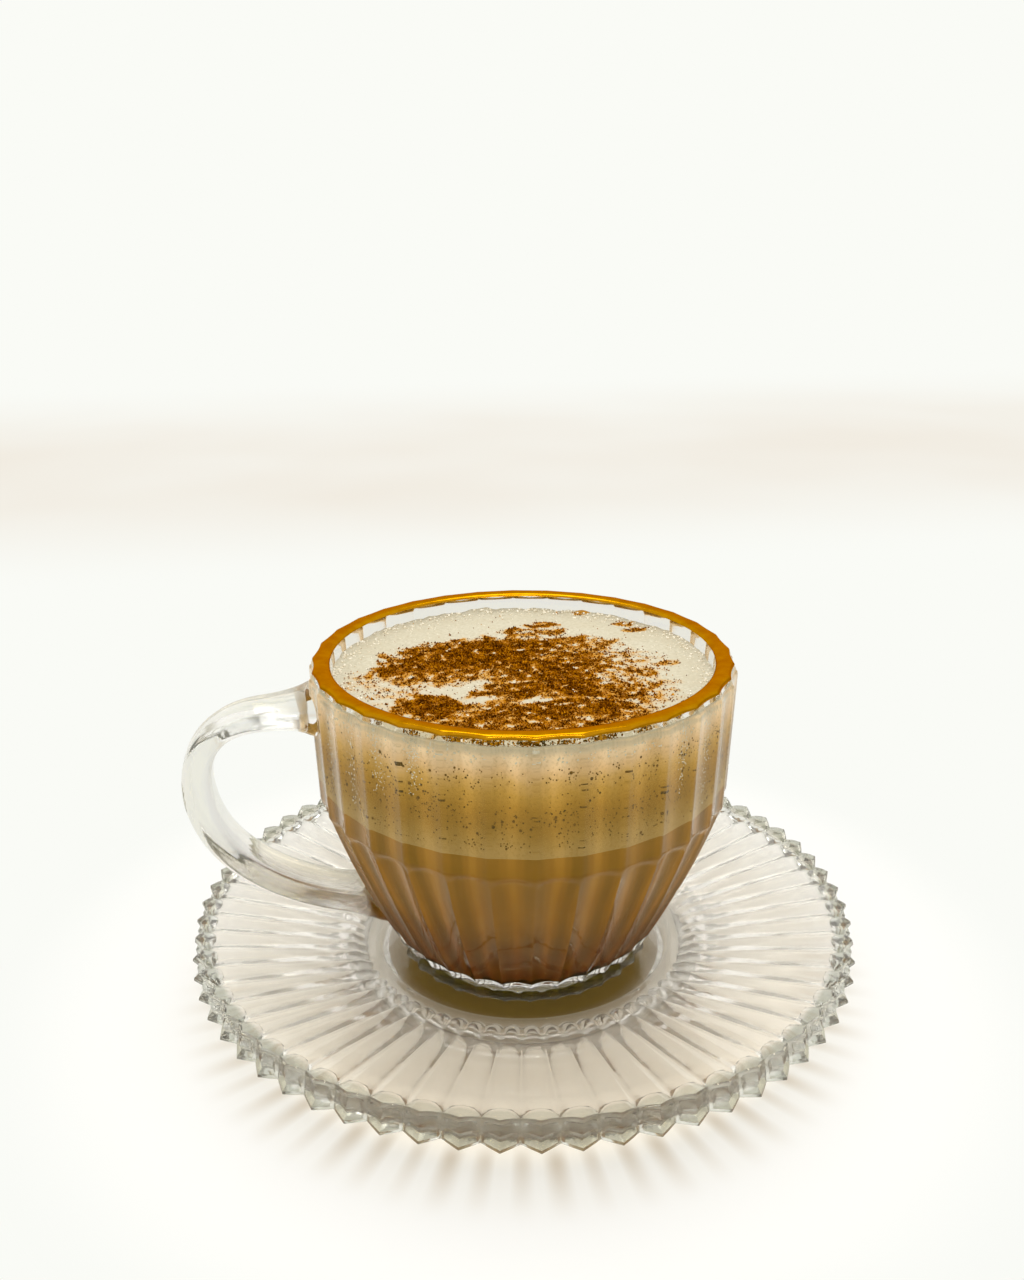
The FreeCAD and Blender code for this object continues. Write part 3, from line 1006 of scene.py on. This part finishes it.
def on_wall(degrees, height, stand_off):
    """Point at a stand-off from the smooth inside of the cup, and its outward direction."""
    angle = math.radians(degrees)
    radius = float(inner_radius(height)) + stand_off
    out = (math.cos(angle), math.sin(angle), 0.0)
    return (radius * out[0], radius * out[1], height), out


EDGE_BUBBLES = 900
TOP_BUBBLES = 500
BEADS_PER_STRIP = 130
EDGE_BEADS = 420
PORE_TRIES = 5200


def make_bubbles():
    """Bubbles in the froth along the glass, and a few larger ones on top."""
    crumbs = Crumbs()
    for _ in range(EDGE_BUBBLES):
        angle = DRAW.random() * TAU
        inset = 0.2 + DRAW.random() ** 2 * 4.0
        radius = froth_radius_top - INTO_WALL - inset
        x = radius * math.cos(angle)
        y = radius * math.sin(angle)
        size = DRAW.uniform(0.12, 0.42) * (1.0 if inset < 2 else 0.7)
        crumbs.ball((x, y, froth_height(x, y) + size * 0.1), (0, 0, 1), size, 0.8, 8, 4)
    for _ in range(TOP_BUBBLES):
        radius = froth_radius_top * math.sqrt(DRAW.random()) * 0.93
        angle = DRAW.random() * TAU
        x = radius * math.cos(angle)
        y = radius * math.sin(angle)
        if cinnamon_amount(x, y) > 0.25:
            continue
        size = DRAW.uniform(0.08, 0.24)
        crumbs.ball((x, y, froth_height(x, y)), (0, 0, 1), size, 0.7, 8, 4)
    return crumbs.piece("froth_bubbles", 80)


# Strips of small white droplets between froth and glass: direction, width in degrees, from, to.
BEAD_STRIPS = (
    (-140, 5.0, 55.0, 68.4),
    (-151, 4.0, 50.0, 68.6),
    (-128, 3.5, 57.0, 68.5),
    (-163, 3.5, 52.0, 68.4),
    (-52, 4.5, 54.0, 68.4),
    (-41, 4.0, 48.0, 68.6),
    (-30, 3.5, 52.0, 68.3),
    (-18, 3.5, 56.0, 68.4),
)


def make_wall_beads():
    crumbs = Crumbs()
    for degrees, width, low, high in BEAD_STRIPS:
        for _ in range(BEADS_PER_STRIP):
            height = low + (high - low) * DRAW.random() ** 0.7
            place = degrees + DRAW.gauss(0, width / 3)
            size = DRAW.uniform(0.07, 0.2)
            point, out = on_wall(place, height, 0.12)
            crumbs.ball(point, out, size, 0.5, 7, 4)
    for _ in range(EDGE_BEADS):
        point, out = on_wall(DRAW.uniform(0, 360), FROTH_TOP + DRAW.uniform(-2.2, 0.5), 0.14)
        crumbs.ball(point, out, DRAW.uniform(0.1, 0.25), 0.4, 7, 4)
    return crumbs.piece("wall_beads", 80)


def make_pores():
    """Dark specks of spice and open pores on the froth's side."""
    crumbs = Crumbs()
    for _ in range(PORE_TRIES):
        height = FROTH_BOTTOM + 1.5 + DRAW.random() * 16.5
        degrees = DRAW.uniform(0, 360)
        along = noise.noise(Vector((degrees * 0.09, height * 0.25, 4.0)))
        if DRAW.random() > 0.5 + along:
            continue
        point, out = on_wall(degrees, height, 0.19)
        size = DRAW.uniform(0.08, 0.21)
        if DRAW.random() < 0.07:
            size = DRAW.uniform(0.22, 0.42)
        crumbs.ball(point, out, size, 0.25, 6, 3)
    return crumbs.piece("froth_pores", 80)


# ---- saucer

def saucer_rows():
    """Rings of the saucer from the middle of its top, over the edge, to the middle below.

    Each ring gives radius and height as functions of v, which is 0 on a rib and a tooth's tip
    and 1 in the groove and the notch beside it.
    """
    v = np.abs(np.array(RIB_COLUMNS))
    tip = SAUCER_TIP - 0.1
    top = SAUCER_TOP

    def groove(width):
        return np.clip(1 - (1 - v) / width, 0, 1)

    rows = [*SAUCER_WELL]
    # inner ends of the ribs, a steep wall with rounded loops
    for rise, inset in ((0.0, 1.0), (0.12, 1.0), (0.32, 0.96), (0.55, 0.88), (0.78, 0.75)):
        height = 7.28 + rise * 1.7
        radius = 36.0 + rise * 2.6 - inset * (1 - v ** 2.2) * 1.1
        rows.append((radius, height - 0.35 * rise * v ** 2))
    # flange: wide gently rounded ribs with a groove between them that is deep near the well
    for radius in FLANGE_RADII:
        share = (radius - FLANGE_RADII[0]) / FLANGE_WIDTH
        crest = FLANGE_LOW + FLANGE_RISE * share
        fade = math.exp(-(radius - FLANGE_RADII[0]) / GROOVE_FADE)
        wide = 0.27 + 0.5 * fade
        deep = 0.2 + 0.6 * fade
        height = crest - 0.38 * v ** 2 - deep * (smoothstep(groove(wide)) - 0.5 * groove(0.1))
        rows.append((radius, height))
    # the tooth: a bevel that starts in an arch, then two facets with a sunk middle each
    arch = 1 - v ** 2
    rows.append((65.7 + 1.7 * v ** 2, 14.05 - 0.35 * v ** 2 - 0.3 * groove(0.3)))
    rows.append((66.7 + 1.1 * v ** 2, 14.45 - 0.75 * v ** 2 + 0.1 * arch))
    rows.append((69.6 - 1.4 * v, top - 0.08 - 0.85 * v ** 2))
    tooth_top = (TOOTH_TOP_RADIUS - TOOTH_TOP_NOTCH * v, top - 0.22 - 0.95 * v ** 2)
    tooth_foot = (tip - 0.1 - TOOTH_DEPTH * v, TOOTH_FOOT + 0.3 * v)
    rows.append(tooth_top)
    for share, inset in ((0.1, 0.0), (0.24, 0.8), (0.5, 0.35), (0.74, 0.8), (0.9, 0.0)):
        radius = tooth_top[0] * (1 - share) + tooth_foot[0] * share
        height = tooth_top[1] * (1 - share) + tooth_foot[1] * share
        middle = smoothstep(np.clip((0.9 - v) / 0.3, 0, 1))
        rows.append((radius - inset * middle, height))
    rows.append(tooth_foot)
    rows.append((tip - 0.35 - TOOTH_DEPTH * v, 9.0 + 0.3 * v))
    rows.append((67.4 - 0.2 * v, 9.7 + 0.25 * v))
    return rows + [*SAUCER_UNDERSIDE]


def make_saucer():
    angles = [
        SAUCER_TURN + (tooth + column / 2) * TAU / TEETH
        for tooth in range(TEETH)
        for column in RIB_COLUMNS
    ]
    rings = Rings(np.array(angles))
    across = np.ones(len(RIB_COLUMNS))
    for radius, height in saucer_rows():
        rings.add(np.tile(across * radius, TEETH), np.tile(across * height, TEETH))
    return make_piece("saucer", *rings.skin(), SAUCER_SMOOTH)


# ---- build the pieces

cup = cup_body()
handle = handle_body()
outward_normals(cup)
outward_normals(handle)
join_solids(cup, handle)
gilt = gilt_band()
saucer = make_saucer()
froth = make_froth()
chai = make_chai()
cinnamon = make_cinnamon()
bubbles = make_bubbles()
beads = make_wall_beads()
pores = make_pores()

cup_glass = glass_material(
    "cup_glass",
    tint=cup_tint,
    clear=(0.95, 0.95, 0.93, 1),
    wave_mm=7.0,
    wave_depth=0.06,
    shine=0.34,
    glint=(1.0, 0.84, 0.12, 1.0),
    straight=cup_straight,
)
saucer_glass = glass_material(
    "saucer_glass",
    tint=saucer_tint_and_teeth_shade,
    clear=(0.97, 0.958, 0.925, 1),
    wave_mm=5.0,
    wave_depth=0.08,
    shine=0.4,
    glint=(1.0, 0.95, 0.84, 1.0),
    straight=saucer_straight,
)
bubble_look = mottled_material(
    "froth_bubbles", 1.5, (224, 212, 184), (242, 235, 216),
    Roughness=0.25, Coat_Weight=0.4, Coat_Roughness=0.1,
)
bead_look = mottled_material(
    "wall_beads", 2.0, (206, 196, 170), (228, 222, 204),
    Roughness=0.2, Coat_Weight=0.6, Coat_Roughness=0.05,
)
pore_look = mottled_material(
    "froth_pores", 0.8, (66, 40, 8), (112, 74, 24), Roughness=0.6, Specular_IOR_Level=0.2
)
for piece, material, slot in (
    (cup, cup_glass, "clear_glass"),
    (saucer, saucer_glass, "clear_glass"),
    (gilt, gilt_material(), "gilt"),
    (froth, froth_material(), "froth"),
    (chai, chai_material(), "chai"),
    (cinnamon, grain_material(), "cinnamon"),
    (bubbles, bubble_look, "froth"),
    (beads, bead_look, "droplets"),
    (pores, pore_look, "chai"),
):
    outward_normals(piece)
    piece.data.materials.clear()
    piece.data.materials.append(material)
    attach(piece, "root")
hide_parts("glass_cup")
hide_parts("saucer")
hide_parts("froth")
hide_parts("chai")

# ---- floor

FLOOR_RADIUS = 6.0              # metres
FLOOR_SIDES = 96


def floor_material():
    """Pale table with painted shade: a dark brown painted shadow under the cup, painted light and
    shade under the saucer, painted shadow streaks in front of its teeth and a faint painted shade
    band far off. Far off it fades to the brightness of the air behind it.
    """
    material, nodes = new_material("floor")
    position, x, y, _ = nodes.place()
    distance = nodes.length(x, y)
    # painted shade: a faint warm darker band across the far floor, broken up by noise
    shade_band = nodes.math(
        "MULTIPLY",
        nodes.span(y, 0.30, 0.48, smooth=True),
        nodes.span(y, 0.56, 1.0, 1.0, 0.0, smooth=True),
    )
    drift = nodes.noise(position, 1 / 260.0, detail=2.0)
    shade_band = nodes.math("MULTIPLY", shade_band, nodes.span(drift, 0.35, 0.65, 0.6, 1.0))
    tone = nodes.mix(shade_band, PALE, linear(241, 235, 224))
    # painted shadow: the floor turns dark brown under the cup
    under = nodes.span(distance, 0.026, 0.038, 0.0, 1.0, smooth=True)
    outside = nodes.span(distance, 0.058, 0.066, smooth=True)
    # painted light and shade under the saucer: lighter than the open floor at the front, darker at
    # the back
    light_and_shade_under_saucer = nodes.mix(
        nodes.span(y, -0.05, 0.0, smooth=True), (1.0, 0.965, 0.9, 1), (0.71, 0.7, 0.675, 1)
    )
    open_floor = nodes.mix(outside, light_and_shade_under_saucer, (0.78, 0.78, 0.77, 1))
    near_with_painted_shade = nodes.mix(under, (0.21, 0.14, 0.03, 1), open_floor)
    # painted shadow streaks on the floor just outside the saucer's front, one for each tooth, in a
    # warm brown
    turn = nodes.math("ARCTAN2", y, x)
    from_tip = nodes.math("SUBTRACT", turn, SAUCER_TURN)
    wave = nodes.math("COSINE", nodes.math("MULTIPLY", from_tip, float(TEETH)))
    beat = nodes.math("COSINE", nodes.math("MULTIPLY", turn, 23.0))
    wave = nodes.math("SUBTRACT", nodes.math("MULTIPLY", beat, 0.4), wave)
    shadow_streak = nodes.span(wave, -0.6, 1.4)
    ring_in = nodes.span(distance, 0.058, 0.064, smooth=True)
    ring_out = nodes.span(distance, 0.060, 0.078, 1.0, 0.0, smooth=True)
    front = nodes.span(y, 0.02, -0.04, smooth=True)
    shadow_streak = nodes.math("MULTIPLY", shadow_streak, nodes.math("MULTIPLY", ring_in, ring_out))
    shadow_streak = nodes.math("MULTIPLY", shadow_streak, nodes.math("MULTIPLY", front, 0.75))
    near_with_painted_shade = nodes.mix(shadow_streak, near_with_painted_shade, (0.5, 0.425, 0.33, 1))
    shader, output = surface(nodes, Base_Color=near_with_painted_shade, Roughness=0.7, Specular_IOR_Level=0.1)
    far = nodes.add("ShaderNodeEmission")
    nodes.put(far, Color=tone)
    away = nodes.span(distance, 0.074, 0.115, smooth=True)
    seen = nodes.blend(away, shader.outputs[0], far.outputs[0])
    nodes.link(seen, output.inputs["Surface"])
    return material


PALE = linear(250, 251, 246)
ring = [
    (FLOOR_RADIUS / MM * math.cos(turn), FLOOR_RADIUS / MM * math.sin(turn), 0.0)
    for turn in np.linspace(0, TAU, FLOOR_SIDES + 1)[:-1]
]
floor = make_piece("floor", ring, [list(range(FLOOR_SIDES))])
floor.data.materials.append(floor_material())

# ---- light


def make_world():
    """Bright above and behind, darker and warm toward the viewer, pale where the camera looks."""
    world = bpy.data.worlds.new("studio")
    bpy.context.scene.world = world
    world.use_nodes = True
    nodes = Nodes(world.node_tree)
    _, x, y, z = nodes.place("Generated")
    toward_viewer = nodes.span(y, -0.2, -0.85, smooth=True)
    low = nodes.span(z, 0.5, 0.05, smooth=True)
    aside = nodes.span(nodes.math("ABSOLUTE", x), 0.5, 0.9, 0.0, 0.85, smooth=True)
    shade = nodes.math("MULTIPLY", nodes.math("MAXIMUM", toward_viewer, aside), low)
    tone = nodes.ramp(
        shade,
        (
            (0.0, (1.0, 1.0, 0.985, 1)),
            (0.5, (0.72, 0.71, 0.66, 1)),
            (1.0, (0.46, 0.45, 0.39, 1)),
        ),
    )
    path = nodes.add("ShaderNodeLightPath")
    lit = nodes.add("ShaderNodeBackground")
    nodes.put(lit, Strength=1.12, Color=tone)
    seen = nodes.add("ShaderNodeBackground")
    nodes.put(seen, Color=PALE)
    output = nodes.add("ShaderNodeOutputWorld")
    both = nodes.blend(path.outputs["Is Camera Ray"], lit.outputs[0], seen.outputs[0])
    nodes.link(both, output.inputs["Surface"])


def add_area(name, location, target, size, power, colour=(1, 1, 1)):
    light = bpy.data.lights.new(name, "AREA")
    light.shape = "RECTANGLE"
    light.size = size[0]
    light.size_y = size[1]
    light.energy = power
    light.color = colour
    lamp = bpy.data.objects.new(name, light)
    bpy.context.scene.collection.objects.link(lamp)
    lamp.location = location
    aim = Vector(target) - Vector(location)
    lamp.rotation_mode = "QUATERNION"
    lamp.rotation_quaternion = aim.to_track_quat("-Z", "Y")


make_world()
add_area("key", (0.02, 0.2, 0.62), (0, 0, 0.03), (0.3, 0.3), 1.1, (1.0, 0.985, 0.95))
add_area("gleam", (0.0, -0.3, 0.5), (0, -0.04, 0.07), (0.3, 0.03), 0.45, (1.0, 0.97, 0.9))

# ---- camera

CAMERA_PLACE = Vector((-0.03458, -0.22521, 0.15561))
CAMERA_TURN = -8.2
CAMERA_PITCH = 70.36
CAMERA_ROLL = -0.31
SENSOR = 36.0
LENS = 33.47

camera_data = bpy.data.cameras.new("camera")
camera_data.sensor_width = SENSOR
camera_data.lens = LENS
camera_data.clip_start = 0.01
camera_data.clip_end = 50
camera = bpy.data.objects.new("camera", camera_data)
bpy.context.scene.collection.objects.link(camera)
turn = Matrix.Rotation(math.radians(CAMERA_TURN), 4, "Z")
pitch = Matrix.Rotation(math.radians(CAMERA_PITCH), 4, "X")
roll = Matrix.Rotation(math.radians(CAMERA_ROLL), 4, "Z")
camera.matrix_world = Matrix.Translation(CAMERA_PLACE) @ turn @ pitch @ roll
bpy.context.scene.camera = camera
bpy.context.scene.view_settings.view_transform = "Standard"
